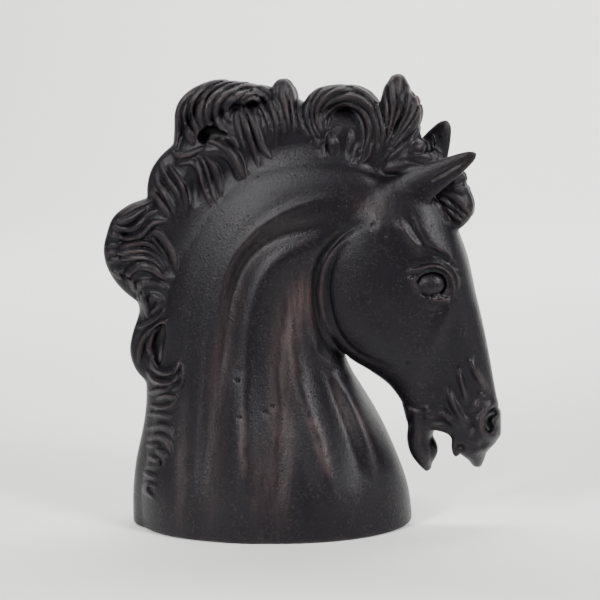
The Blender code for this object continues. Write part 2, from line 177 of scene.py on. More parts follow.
# Upper lip, in front of the open mouth
UPPER_LIP = (
    (36.5, 24.5, 51.8, 25.0, 5.2, 2.3),
    (39.0, 21.0, 52.0, 21.5, 5.5, 2.3),
    (40.3, 18.6, 50.8, 18.6, 5.2, 2.2),
    (42.0, 16.8, 48.8, 16.4, 4.3, 2.2),
    (44.4, 14.8, 48.0, 14.4, 2.9, 2.0),
    (45.6, 13.2, 47.4, 13.0, 1.6, 2.0),
)

# Lower jaw and its lip, behind the open mouth
LOWER_LIP = (
    (30.8, 27.0, 38.5, 25.0, 4.6, 2.2),
    (31.4, 22.8, 37.6, 22.0, 4.4, 2.2),
    (31.3, 19.0, 36.6, 19.6, 4.1, 2.3),
    (32.0, 16.0, 36.6, 17.0, 3.8, 2.3),
    (33.6, 13.6, 36.5, 14.6, 3.2, 2.2),
    (35.0, 12.0, 36.2, 12.4, 1.8, 2.0),
)

# Crest that the mane's locks lie on, from the poll down the back of the neck
CREST = (
    (36.5, 85.0, 32.0, 78.0, 3.0, 2.2),
    (33.5, 92.5, 27.0, 79.0, 4.0, 2.2),
    (23.0, 93.5, 21.0, 79.0, 4.0, 2.4),
    (13.5, 94.0, 13.0, 79.0, 4.4, 2.4),
    (4.5, 95.0, 6.0, 79.0, 4.8, 2.4),
    (-6.0, 95.0, 0.0, 78.0, 5.2, 2.4),
    (-14.5, 91.0, -5.0, 75.0, 5.8, 2.4),
    (-20.0, 82.0, -9.0, 71.0, 6.3, 2.4),
    (-24.8, 73.0, -13.0, 66.0, 6.5, 2.4),
    (-31.5, 66.0, -16.0, 60.0, 6.0, 2.4),
    (-31.5, 58.0, -19.0, 54.0, 5.4, 2.4),
    (-28.5, 50.0, -19.0, 47.0, 4.6, 2.4),
    (-28.8, 40.0, -19.0, 38.0, 4.0, 2.4),
    (-27.7, 31.0, -20.0, 29.0, 3.6, 2.2),
    (-28.3, 23.5, -22.0, 23.0, 3.6, 2.2),
    (-31.2, 14.0, -24.0, 14.0, 4.2, 2.2),
    (-32.3, 4.0, -26.0, 4.0, 5.5, 2.2),
    (-32.3, -3.0, -26.0, -3.0, 6.5, 2.2),
)

# Thick locks of the mane: depth from the middle plane, radius, then x and z along the lock
LOCKS = {
    "topknot": (0.8, 3.0, ((29, 79), (30, 86.5), (31.2, 94), (31.9, 98.4))),
    "topknot lobe": (2.2, 2.2, ((30, 80), (33, 86.5), (34.5, 91), (34.2, 94.6))),
    "fan": (3.0, 2.2, ((29.5, 81.2), (33.5, 82.6), (36.6, 84.2))),
    "fan root": (3.8, 1.6, ((29, 79.6), (34.5, 80.4), (40, 81.4))),
    "wave": (2.2, 2.4, ((27.3, 78.5), (27.7, 86), (25.3, 92.6), (20.5, 95.3), (15.5, 95), (12.6, 91.3),
                        (13.4, 86.5), (16.5, 85.3))),
    "upright": (1.5, 3.2, ((8, 81.5), (7, 88.5), (6.5, 94), (6.7, 98.4))),
    "roll outer": (1.5, 2.4, ((5, 96), (-3, 97.3), (-9.5, 97.4), (-13.7, 94.8), (-15.8, 90.5), (-16.8, 84))),
    "roll middle": (4.0, 2.0, ((1.5, 95.5), (-5, 96), (-9, 94), (-11.7, 90.5), (-12.7, 87.5))),
    "smooth": (5.6, 1.4, ((-11, 84.7), (-6.5, 84.7), (-4, 82.8), (-2.4, 78.5))),
    "left outer": (2.0, 2.9, ((-15.5, 86), (-19.8, 81.5), (-22, 77.2), (-23, 70.5))),
    "swirl top": (2.2, 2.6, ((-19.5, 72.5), (-25.5, 71.8), (-31, 69.2), (-33.2, 65))),
    "swirl back": (1.4, 2.8, ((-32.2, 69), (-33.4, 63), (-32, 58), (-28.5, 52.5))),
    "swirl fall": (4.6, 2.0, ((-31, 63), (-26, 62), (-22, 60), (-19.5, 56))),
    "ring outer": (1.3, 2.2, ((-26.5, 50), (-28.8, 43), (-29.1, 38.5), (-26.7, 34.5), (-20, 32.7))),
    "forelock": (1.6, 2.3, ((36.5, 79.5), (42, 76.5), (45.3, 71), (43.6, 66.8))),
    "forelock top": (2.2, 1.7, ((37, 79.5), (41.5, 79.3), (45, 75.9))),
    "forelock root": (1.2, 2.4, ((37, 77), (41.3, 73.3), (43, 68.5))),
}

# Strands of the mane in the view's pixels: half width, then pixels along the strand
STRANDS = (
    # topknot
    (5.5, ((378, 101), (379, 116), (382, 132), (380, 146))),
    (4.5, ((385, 84), (384, 100), (386, 114), (387, 128))),
    (5.0, ((392, 76), (391, 94), (394, 106), (392, 120), (388, 138))),
    (4.5, ((401, 76), (400, 94), (400, 108), (395, 124), (387, 146))),
    (4.5, ((408, 84), (409, 98), (407, 112), (400, 127), (388, 148))),
    (4.5, ((415, 94), (415, 106), (410, 118), (401, 131), (388, 150))),
    (4.5, ((420, 103), (419, 114), (413, 126), (402, 138), (390, 152))),
    (4.0, ((420, 127), (411, 140), (400, 148), (387, 160))),
    # fan of short pieces between the topknot and the ear
    (4.0, ((421, 131), (427, 138), (430, 148), (432, 158))),
    (3.0, ((401, 158), (415, 156), (430, 157))),
    (3.0, ((404, 162), (414, 163), (424, 166))),
    # wave that curls over
    (4.5, ((300, 93), (297, 106), (299, 119), (305, 130), (312, 140))),
    (4.5, ((322, 86), (311, 95), (307, 108), (308, 122), (312, 135), (318, 145), (325, 141))),
    (4.0, ((334, 87), (322, 93), (314, 104), (312, 117), (314, 129), (319, 138))),
    (5.0, ((352, 88), (337, 92), (325, 99), (318, 109), (317, 121), (321, 132))),
    (4.5, ((345, 86), (358, 88), (368, 94), (377, 104))),
    (6.0, ((321, 112), (331, 103), (346, 98), (360, 101), (371, 110), (377, 123), (379, 137), (376, 154))),
    (4.0, ((322, 121), (328, 112), (340, 106), (354, 106), (364, 113), (369, 125), (368, 140), (362, 158))),
    (3.2, ((351, 131), (351, 143), (347, 160))),
    (3.2, ((358, 143), (354, 153), (352, 163))),
    (3.5, ((372, 142), (369, 154), (363, 163))),
    (6.5, ((330, 133), (333, 145), (333, 155))),
    (3.0, ((324, 141), (324, 158))),
    # upright lock with a rough top
    (4.5, ((271, 86), (273, 97), (279, 110))),
    (4.5, ((281, 85), (283, 98), (287, 112), (290, 128))),
    (5.0, ((292, 87), (294, 102), (295, 118), (295, 132))),
    # straight strands combed down behind it
    (3.5, ((237, 109), (236, 120), (239, 133), (246, 150))),
    (5.0, ((241, 105), (245, 122), (250, 140), (258, 166))),
    (4.5, ((241, 100), (249, 114), (256, 131), (262, 147), (271, 158))),
    (3.5, ((246, 101), (254, 98), (262, 106), (268, 120), (271, 140))),
    (4.5, ((240, 100), (248, 94), (257, 92), (267, 98), (273, 110), (276, 124), (276, 144))),
    (4.5, ((255, 86), (265, 89), (273, 98), (279, 111), (284, 132))),
    # roll combed back over the crest
    (5.0, ((200, 86), (189, 94), (181, 103), (178, 114), (179, 126), (177, 140), (174, 151))),
    (6.0, ((187, 103), (185, 117), (188, 131), (193, 144))),
    (5.0, ((236, 79), (222, 80), (208, 86), (196, 95), (190, 106), (190, 117), (194, 127), (199, 137))),
    (5.0, ((243, 80), (228, 82), (213, 88), (203, 98), (199, 109), (200, 120), (204, 128))),
    (5.0, ((249, 82), (236, 83), (221, 89), (211, 99), (208, 110), (209, 121), (212, 128))),
    (5.0, ((253, 86), (242, 86), (229, 92), (219, 101), (216, 111), (218, 122), (223, 131), (229, 135))),
    (5.0, ((252, 90), (243, 92), (234, 98), (227, 106), (226, 115), (230, 123))),
    # brow pieces and falls left of the roll
    (4.0, ((171, 151), (180, 156), (190, 154), (198, 150), (205, 147))),
    (4.5, ((176, 165), (186, 162), (194, 163), (199, 169), (203, 180), (207, 193), (211, 205))),
    (4.0, ((197, 155), (203, 163), (207, 174), (210, 188), (217, 204))),
    (5.5, ((205, 158), (212, 166), (217, 176), (221, 196))),
    (6.0, ((206, 140), (218, 142), (229, 149), (236, 158), (241, 168), (245, 177))),
    (4.0, ((222, 134), (231, 139), (238, 151))),
    (4.0, ((168, 164), (173, 173), (179, 182), (185, 196), (186, 209))),
    (4.5, ((160, 162), (165, 175), (172, 186), (180, 200))),
    (5.0, ((156, 178), (166, 194), (175, 213))),
    (5.0, ((152, 190), (160, 202), (170, 217))),
    # swirl
    (4.5, ((152, 200), (134, 206), (119, 216))),
    (4.5, ((146, 208), (136, 216), (124, 222), (114, 222))),
    (5.0, ((158, 211), (145, 217), (137, 227), (128, 231), (119, 229), (113, 226))),
    (5.0, ((168, 221), (153, 223), (145, 231), (135, 237), (122, 237), (110, 234))),
    (4.5, ((107, 246), (128, 246), (139, 244), (151, 246), (159, 253), (168, 267))),
    (4.5, ((108, 253), (126, 253), (138, 251), (148, 252), (156, 258), (165, 270))),
    (4.5, ((108, 262), (123, 259), (136, 257), (149, 258), (158, 264), (164, 273))),
    (5.5, ((148, 235), (157, 233), (164, 243), (171, 254), (176, 270))),
    (4.5, ((150, 239), (156, 243), (162, 251), (168, 262))),
    (6.0, ((112, 271), (124, 276), (134, 268), (144, 266), (154, 269), (163, 276), (174, 277))),
    (5.5, ((139, 300), (138, 287), (145, 283), (156, 284), (168, 288))),
    (4.5, ((122, 275), (134, 287), (141, 298), (146, 308), (148, 318))),
    (5.0, ((150, 303), (152, 296), (159, 300), (157, 308), (149, 314))),
    # ring and the short pieces below it
    (5.0, ((138, 328), (152, 320), (163, 310))),
    (5.5, ((139, 363), (141, 347), (147, 336), (156, 327), (167, 320))),
    (5.0, ((150, 354), (148, 344), (153, 334), (162, 325))),
    (5.5, ((150, 356), (155, 368), (164, 373), (174, 370), (179, 362))),
    (5.0, ((146, 370), (156, 380), (168, 382), (180, 378))),
    (4.5, ((182, 366), (180, 384), (173, 390))),
    (3.6, ((148, 393), (158, 391), (168, 389))),
    (3.6, ((150, 405), (160, 407), (170, 405), (175, 399), (167, 396), (156, 398))),
    (3.2, ((148, 414), (160, 414), (172, 418))),
    (3.6, ((147, 429), (160, 426), (169, 430), (173, 440))),
    (3.6, ((147, 439), (158, 436), (167, 441), (171, 452))),
    (3.2, ((147, 446), (157, 443))),
    (3.6, ((156, 449), (163, 456), (163, 465))),
    (3.4, ((148, 456), (158, 463), (146, 467))),
    (3.0, ((143, 472), (156, 478))),
    (3.4, ((154, 499), (145, 491), (148, 484), (156, 487))),
    # forelock under the ear
    (4.0, ((456, 185), (457, 177), (465, 176), (467, 183))),
    (4.0, ((450, 186), (460, 190), (470, 189))),
    (5.0, ((441, 191), (453, 197), (463, 205), (473, 215))),
    (4.5, ((437, 197), (446, 201), (455, 209), (468, 219))),
    (4.5, ((434, 201), (442, 210), (451, 225))),
    (4.0, ((443, 207), (454, 215), (464, 224))),
)

# Shares of a strand's half width: its height, its groove's depth and width, and how far its crest leans
STRAND_ROUND = 0.56
STRAND_GROOVE = 0.24
GROOVE_WIDTH = 0.3
STRAND_LEAN = 0.45

# Power by which a strand's flanks fall
STRAND_FALL = 1.7

# Distance, in half widths of a line, that stands for a place that the line doesn't reach
NO_LINE = 9.0

# How many times faster a one-sided fold falls away on its steep side
LEDGE_STEEP = 5

# Hollows of the mane in the view's pixels: radius, how deep below the skin, then pixels
MANE_HOLLOWS = (
    (0.7, -0.3, ((253, 104), (259, 112), (262, 124))),
    (1.9, -0.8, ((193, 172), (192, 188), (194, 206))),
    (1.8, 0.4, ((164, 324), (160, 336), (158, 348), (159, 363))),
    (0.6, 0.1, ((400, 118), (393, 134))),
)

# Hollows that lie under a curl's edge, deepest along it: width, height, then pixels
MANE_LEDGES = (
    (3.4, -1.0, ((361, 152), (364, 136), (361, 120), (353, 111), (342, 109), (332, 114), (327, 125))),
    (1.6, -0.35, ((268, 122), (262, 107), (254, 101), (247, 105), (243, 113))),
)

# Holes cut after the strands are combed: radius, how deep below the skin, then pixels
MANE_HOLES = (
    (1.7, 0.9, ((205, 137), (212, 133), (221, 136))),
    (0.8, 0.5, ((201, 139), (205, 136))),
    (0.35, 0.1, ((331, 116), (328, 126))),
    (0.55, 0.4, ((446, 217), (448, 219))),
)

# Open bubbles of the pour that are larger than the rest: half width in hundredths, then pixels
PITS = ((0.42, (237, 380)), (0.38, (273, 406)), (0.36, (266, 412)), (0.32, (239, 417)), (0.3, (407, 363)))

# Long muscles of the neck in the view's pixels: width, height, then pixels
NECK_FOLDS = (
    (1.3, 0.75, ((214, 400), (216, 360), (218, 328), (221, 301), (227, 275), (235, 257), (249, 239),
                 (270, 221), (294, 208), (322, 200), (350, 197))),
    (2.6, 0.5, ((196, 540), (198, 440), (203, 360), (208, 310), (216, 275), (230, 245), (252, 220),
                (285, 197))),
    (2.3, -1.35, ((220, 370), (229, 318), (236, 286), (250, 258), (276, 238), (312, 228), (340, 222))),
    (2.6, -0.7, ((203, 545), (207, 500), (211, 433), (220, 370), (229, 318))),
    (2.8, 1.0, ((249, 545), (246, 430), (245, 380), (248, 330), (258, 291), (273, 267), (298, 251),
                (326, 242))),
    (3.8, 1.5, ((243, 530), (242, 450), (240, 372))),
    (2.6, -1.1, ((271, 545), (278, 463), (280, 410), (279, 358), (283, 320), (290, 292), (306, 270))),
    (3.0, 0.9, ((332, 520), (325, 460), (308, 410), (297, 370), (296, 335), (303, 305))),
    (3.6, 1.4, ((337, 525), (322, 450), (300, 376))),
    (1.9, -0.8, ((362, 480), (347, 432), (333, 398), (323, 372), (316, 345))),
    (2.2, 0.6, ((392, 500), (376, 450), (357, 410), (345, 388), (335, 368))),
    (2.9, 1.4, ((382, 495), (368, 445), (356, 410), (345, 378))),
    (1.8, -0.4, ((186, 540), (186, 460), (190, 390), (196, 330))),
    (2.2, 0.7, ((366, 214), (376, 220), (384, 232))),
)

# Streaks of brown wash that stay in the neck's valleys: width in hundredths, strength, then pixels
NECK_WASH = (
    (2.2, 0.6, ((209, 545), (211, 500), (215, 433), (221, 370), (229, 318), (239, 280), (254, 252),
                (282, 230), (315, 222))),
    (2.8, 1.0, ((277, 545), (281, 463), (282, 410), (283, 358), (288, 322), (297, 292), (310, 270))),
    (1.6, 0.8, ((352, 440), (340, 410), (331, 385))),
    (1.5, 0.5, ((180, 545), (182, 470), (188, 400))),
    (4.0, 0.5, ((300, 330), (304, 300), (318, 285))),
    (3.0, 0.5, ((350, 205), (372, 208), (392, 216))),
    (3.0, 0.4, ((262, 520), (262, 440))),
)

# Folds and bones of the face in the view's pixels: width, height, then pixels
FACE_FOLDS = (
    # back edge of the cheek
    (0.9, -0.9, ((366, 222), (346, 232), (331, 246), (319, 264), (314, 290), (317, 318), (326, 342),
                 (340, 358))),
    (0.7, 0.45, ((352, 234), (336, 248), (325, 268), (321, 292), (325, 318), (336, 340), (352, 354))),
    (0.5, -0.35, ((350, 242), (338, 254), (330, 276), (331, 305), (340, 332), (358, 352), (392, 368))),
    (0.8, 0.4, ((311, 335), (320, 356), (338, 368))),
    (2.6, 0.5, ((372, 225), (380, 228), (386, 236))),
    # temple and brow
    (1.1, 0.65, ((396, 220), (405, 231), (414, 242), (423, 252))),
    (1.5, -0.3, ((407, 218), (414, 232), (424, 245))),
    (0.9, 0.35, ((447, 258), (452, 263))),
    (1.6, -0.4, ((402, 258), (418, 260), (434, 258))),
    # eyelids
    (0.50, 0.85, ((407, 272), (419, 269), (432, 266), (442, 268), (450, 274), (454, 284), (454, 300))),
    (0.40, 0.50, ((440, 262), (451, 267), (458, 279), (458, 294))),
    (0.45, 0.60, ((408, 277), (413, 283), (416, 292))),
    (0.45, -0.25, ((420, 306), (432, 312), (444, 310))),
    # cheek bone and the hollow below it
    (1.4, 0.4, ((456, 300), (446, 318), (436, 340), (428, 360))),
    (3.0, -0.5, ((430, 330), (436, 366), (432, 396))),
    (3.2, 0.3, ((345, 300), (362, 330), (392, 350))),
    # wrinkles above the nostril
    (0.90, 1.05, ((471, 359), (475, 370), (480, 380), (486, 391))),
    (0.70, 0.90, ((458, 367), (461, 380), (464, 391), (467, 402))),
    (0.85, 0.90, ((447, 387), (451, 399), (456, 410), (462, 421), (467, 429))),
    (0.95, 0.65, ((439, 411), (446, 417), (453, 423), (460, 428))),
    (0.75, 0.45, ((424, 410), (431, 409))),
    (0.75, 0.50, ((427, 415), (429, 419))),
    (0.90, 0.45, ((473, 407), (477, 404))),
    (0.40, 0.50, ((479, 394), (485, 396))),
    # nostril's rim, and the lip's folds
    (0.8, 0.7, ((499, 403), (490, 406), (484, 414), (481, 424), (483, 433), (491, 437), (498, 433))),
    (0.6, 0.5, ((501, 416), (496, 420), (496, 428))),
    (0.4, 0.4, ((468, 438), (472, 432), (475, 427))),
    (0.8, 0.4, ((476, 440), (478, 448), (474, 456))),
    (0.7, -0.5, ((486, 441), (480, 446), (474, 447))),
    (0.75, -0.5, ((418, 422), (432, 421), (444, 422), (454, 427))),
    (0.5, -0.3, ((412, 408), (410, 424), (411, 440))),
    (0.6, -0.5, ((421, 425), (423, 440), (425, 455))),
    (0.5, -0.5, ((454, 450), (459, 446), (465, 448))),
)

# Edges of the face where the skin rises at once to one side and falls away slowly on the other
FACE_LEDGES = (
    (3.6, 0.8, ((411, 213), (417, 221), (419, 229), (424, 237), (431, 244), (440, 249), (448, 253),
                (454, 260), (458, 268), (459, 277), (457, 288))),
)

# Sunk shapes of the face in the view's pixels: radius, how deep below the skin, then pixels
FACE_HOLLOWS = (
    (0.90, 0.3, ((495, 412), (490, 414), (487.5, 419), (487.5, 425), (490, 428))),
)

# Lower lid and its flap, laid on the skin: radius, then the view's pixels
LIDS = (
    (0.55, ((413, 279), (417, 288), (423, 295), (431, 299), (440, 300), (448, 300))),
    (0.50, ((434, 299), (438, 296), (443, 299))),
)

# Lobes of the mouth: depth from the middle plane, radius, then x and z
LIPS = {
    "corner of the upper lip": (3.9, 1.0, ((42.7, 21), (42.3, 18.5), (42.3, 16.3))),
    "lobe of the lower lip": (0.3, 1.5, ((35.4, 20), (36.4, 16.8), (35.8, 14.2))),
}

# Gap between the lips, cut straight through: x, z and radius down the gap
MOUTH = ((39.4, 18.9, 2.3), (39.6, 16.9, 2.2), (40.0, 14.8, 2.2), (40.4, 12.7, 2.4))

# Eye: x, depth and z of its middle, its three half sizes, and half the width of the slit round it
EYE = (38.1, 7.45, 54.9)
EYE_HALF = (3.35, 2.4, 2.75)
EYE_SLIT = 0.22

# Ear from its root to its tip: share of the length, share of the width, share of it that is thick
EAR = ((0.0, 1.0, 0.5), (0.15, 1.0, 0.42), (0.36, 0.95, 0.36), (0.58, 0.76, 0.36), (0.8, 0.52, 0.4),
       (0.94, 0.3, 0.45), (1.0, 0.06, 0.5))
EAR_LENGTH = 21.9
EAR_WIDTH = 8.0

# Furrow of the ear as shares of its length or width: place up, across and outwards, and half sizes
FURROW_PLACE = (0.72, -0.02, 0.15)
FURROW_HALF = (0.25, 0.09, 0.07)

# Both ears: side, root x y z, tilt from level and splay outwards in degrees, shares of the length and width
EARS = (
    (-1, (29.4, 5.0, 72.2), 28.0, 4.0, 1.0, 1.0),
    (1, (33.8, 5.5, 74.5), 61.5, 6.0, 0.75, 1.2),
)


def curve_through(points, count):
    """Evenly numbered points on a smooth (Catmull-Rom) curve through the given ones."""
    known = np.asarray(points, float)
    known = np.vstack((2 * known[0] - known[1], known, 2 * known[-1] - known[-2]))
    place = np.linspace(0, len(known) - 3 - 1e-9, count)
    start = place.astype(int)
    part = (place - start)[:, None]
    a, b, c, d = (known[start + k] for k in range(4))
    return 0.5 * (2 * b + (c - a) * part + (2 * a - 5 * b + 4 * c - d) * part**2
                  + (3 * b - a - 3 * c + d) * part**3)


def closed_rings(rings):
    """Points and quads of a skin over an (n, m, 3) array of rings, with a fan of triangles at each end."""
    count, around, _ = rings.shape
    points = np.vstack((rings.reshape(-1, 3), rings[0].mean(0), rings[-1].mean(0)))
    i, j = np.meshgrid(np.arange(count - 1), np.arange(around), indexing="ij")
    k = (j + 1) % around
    quads = np.stack((i * around + j, i * around + k, (i + 1) * around + k, (i + 1) * around + j), -1)
    j = np.arange(around)
    k = (j + 1) % around
    ends = (np.stack((np.full(around, count * around), k, j), -1),
            np.stack((np.full(around, count * around + 1), (count - 1) * around + j,
                      (count - 1) * around + k), -1))
    return points, quads.reshape(-1, 4), np.vstack(ends)


def loft(rows):
    """Skin over sections that each span a back and a front point: a superellipse between the two."""
    back_x, back_z, front_x, front_z, half_width, power = curve_through(rows, 200).T[:, :, None]
    angle = np.linspace(0, 2 * math.pi, 120, endpoint=False)
    along = np.sign(np.cos(angle)) * np.abs(np.cos(angle)) ** (2 / power)
    across = np.sign(np.sin(angle)) * np.abs(np.sin(angle)) ** (2 / power)
    x = (back_x + front_x) / 2 + (front_x - back_x) / 2 * along
    z = (back_z + front_z) / 2 + (front_z - back_z) / 2 * along
    return closed_rings(np.stack((x, half_width * across, z), axis=-1))


def melted(first, second, soft):
    """Union of two distance fields whose join is filled over a width of soft (a quadratic blend)."""
    gap = np.maximum(soft - np.abs(first - second), 0) / soft
    return np.minimum(first, second) - gap * gap * soft * 0.25


class Clay:
    """Block of cells that holds the distance to the skin, less than zero inside.

    It starts as the half on the eye's side of the middle plane, with a first closed skin in it.
    """

    def __init__(self, grain, skin):
        self.grain = grain
        self.low = np.array(CLAY_LOW, float)
        self.shape = tuple(np.round((np.array(CLAY_HIGH) - self.low) / grain).astype(int) + 1)
        self.field = self.distance_to(skin)

    @property
    def axes(self):
        """Coordinates of the cells along x, y and z."""
        return [self.low[i] + self.grain * np.arange(self.shape[i]) for i in range(3)]

    def distance_to(self, skin):
        """Distance field of a closed skin, true near it and constant beyond."""
        points, quads, triangles = skin
        grid = openvdb.FloatGrid.createLevelSetFromPolygons(
            np.ascontiguousarray(points - self.low, np.float32),
            triangles=np.ascontiguousarray(triangles, np.uint32),
            quads=np.ascontiguousarray(quads, np.uint32),
            transform=openvdb.createLinearTransform(self.grain), halfWidth=CLAY_REACH / self.grain)
        field = np.zeros(self.shape, np.float32)
        grid.copyToArray(field, ijk=(0, 0, 0))
        return field

    def melt(self, skin, soft):
        """Adds the form inside a closed skin."""
        self.field = melted(self.field, self.distance_to(skin), soft)

    def cells(self, points, reach):
        """Slices and coordinates of the cells within reach of the points."""
        first = np.floor((points.min(0) - reach - self.low) / self.grain).astype(int)
        last = np.ceil((points.max(0) + reach - self.low) / self.grain).astype(int) + 1
        first = np.clip(first, 0, np.array(self.shape) - 1)
        last = np.clip(last, first + 1, self.shape)
        part = tuple(slice(a, b) for a, b in zip(first, last))
        x, y, z = (axis[cut].astype(np.float32) for axis, cut in zip(self.axes, part))
        return part, x[:, None, None], y[None, :, None], z[None, None, :]

    def near(self, path, radius, reach):
        """Distance of the cells near a path to it, less the radius that the path has there."""
        path = np.asarray(path, np.float32)
        radius = np.broadcast_to(np.asarray(radius, np.float32), len(path))
        widest = reach + float(radius.max())
        whole, x, y, z = self.cells(path, widest)
        best = np.full((x.size, y.size, z.size), 1e3, np.float32)
        for a, b, first, second in zip(path, path[1:], radius, radius[1:]):
            part, x, y, z = self.cells(np.stack((a, b)), widest)
            inner = tuple(slice(s.start - w.start, s.stop - w.start) for s, w in zip(part, whole))
            run = b - a
            share = ((x - a[0]) * run[0] + (y - a[1]) * run[1] + (z - a[2]) * run[2]) / (run @ run + 1e-9)
            share = np.clip(share, 0, 1)
            gap = np.sqrt((x - a[0] - share * run[0])**2 + (y - a[1] - share * run[1])**2
                          + (z - a[2] - share * run[2])**2) - first - (second - first) * share
            best[inner] = np.minimum(best[inner], gap)
        return whole, best

    def add_tube(self, path, radius, soft):
        """Adds a tube along a path."""
        part, gap = self.near(path, radius, 2 * soft + 4 * self.grain)
        self.field[part] = melted(self.field[part], gap, soft)

    def sink_tube(self, path, radius, soft):
        """Takes a tube along a path away."""
        part, gap = self.near(path, radius, 2 * soft + 4 * self.grain)
        self.field[part] = -melted(-self.field[part], gap, soft)

    def ball_gap(self, centre, half, turn=None):
        """Cells round an ellipsoid, and about how far each is from its skin."""
        centre = np.asarray(centre, float)
        half = np.asarray(half, float)
        part, x, y, z = self.cells(centre[None], half.max() + 2.0)
        x, y, z = x - centre[0], y - centre[1], z - centre[2]
        if turn is not None:
            x, y, z = (row[0] * x + row[1] * y + row[2] * z for row in turn)
        size = np.sqrt((x / half[0])**2 + (y / half[1])**2 + (z / half[2])**2)
        slope = np.sqrt((x / half[0]**2)**2 + (y / half[1]**2)**2 + (z / half[2]**2)**2) + 1e-9
        return part, (size * (size - 1) / slope).astype(np.float32)

    def value_at(self, points, field=None):
        """Field at any points, straight between the cells."""
        field = self.field if field is None else field
        place = (points - self.low) / self.grain
        top = np.array(self.shape) - 2
        start = np.clip(np.floor(place).astype(int), 0, top)
        share = np.clip(place - start, 0, 1)
        total = 0
        for corner in np.ndindex(2, 2, 2):
            weight = np.prod(np.where(corner, share, 1 - share), axis=-1)
            i, j, k = (start + corner).reshape(-1, 3).T
            total = total + weight * field[i, j, k].reshape(weight.shape)
        return total

    def seen(self, pixels):
        """Depth y at which the eye sees the skin through each pixel, with each pixel's ray and the eye.

        A pixel past the outline is given the depth of its neighbours, but not nearer than y = 0.
        """
        eye, right, up, forward = view_axes()
        pixels = np.asarray(pixels, float)
        middle = VIEW_SIZE / 2
        rays = (forward * VIEW_DISTANCE + right * ((pixels[:, :1] - middle) * VIEW_PIXEL)
                - up * ((pixels[:, 1:] - middle) * VIEW_PIXEL))
        eye = eye / UNIT
        depths = np.arange(self.low[1] + self.grain, 0.5, self.grain * 0.8)
        steps = (depths[None, :] - eye[1]) / rays[:, 1:2]
        points = eye + rays[:, None, :] * steps[:, :, None]
        values = self.value_at(points)
        inside = values < 0
        found = inside.any(1)
        hit = np.maximum(inside.argmax(1), 1)
        row = np.arange(len(pixels))
        before, after = values[row, hit - 1], values[row, hit]
        share = before / (before - after + 1e-9)
        depth = depths[hit - 1] + share * (depths[hit] - depths[hit - 1])
        if found.any():
            order = np.flatnonzero(found)
            fill = np.interp(row, order, depth[order])
            depth = np.where(found, depth, np.maximum(fill, 0.0))
        else:
            depth = np.zeros(len(pixels))
        return depth, rays, eye

    def laid(self, pixels, deep=0.0):
        """Smooth path through the pixels that lies on the skin, or as deep below it as is said."""
        count = max(8, int(np.abs(np.diff(np.asarray(pixels), axis=0)).sum() / 3))
        depth, rays, eye = self.seen(curve_through(pixels, count))
        # Each depth is averaged with the two before it and the two after it
        depth = np.convolve(np.pad(depth, 2, mode="edge"), np.ones(5) / 5, "valid") + deep
        return eye + rays * ((depth - eye[1]) / rays[:, 1])[:, None]

    def press(self, sheet, relief):
        """Raises the skin by a relief over the view's pixels, seen from the eye."""
        cells = np.flatnonzero(np.abs(self.field) < PRESS_REACH)
        index = np.stack(np.unravel_index(cells, self.shape), axis=-1)
        pixels = to_pixels(self.low + self.grain * index)
        self.field.ravel()[cells] -= sheet.sample(relief, pixels).astype(np.float32)

    def mirror(self):
        """Makes the block whole, from the half on the eye's side of the middle plane."""
        middle = int(round(-self.low[1] / self.grain))
        half = self.field[:, :middle + 1]
        self.field = np.concatenate((half, half[:, -2::-1]), axis=1)
        self.shape = self.field.shape

    def skin(self):
        """Points and quads of the skin, in hundredths of the height."""
        grid = openvdb.FloatGrid(SKIN_REACH)
        grid.transform = openvdb.createLinearTransform(self.grain)
        grid.copyFromArray(np.clip(self.field, -SKIN_REACH, SKIN_REACH))
        points, quads = grid.convertToQuads(0.0)
        return points + self.low, quads[:, ::-1]


def blurred(field, cells):
    """Field averaged over a cube of 2 cells + 1 on a side, one axis after the other."""
    for axis in range(3):
        width = 2 * cells + 1
        pad = [(0, 0)] * 3
        pad[axis] = (cells + 1, cells)
        total = np.cumsum(np.pad(field, pad, mode="edge"), axis=axis, dtype=np.float32)
        ahead = [slice(None)] * 3
        behind = [slice(None)] * 3
        ahead[axis] = slice(width, None)
        behind[axis] = slice(None, -width)
        field = (total[tuple(ahead)] - total[tuple(behind)]) / width
    return field


def to_pixels(points):
    """Pixels of the view that points, in hundredths of the height, are seen at."""
    eye, right, up, forward = view_axes()
    offset = points - eye / UNIT
    scale = VIEW_DISTANCE / VIEW_PIXEL / (offset @ forward)
    middle = VIEW_SIZE / 2
    return np.stack((middle + (offset @ right) * scale, middle - (offset @ up) * scale), axis=-1)


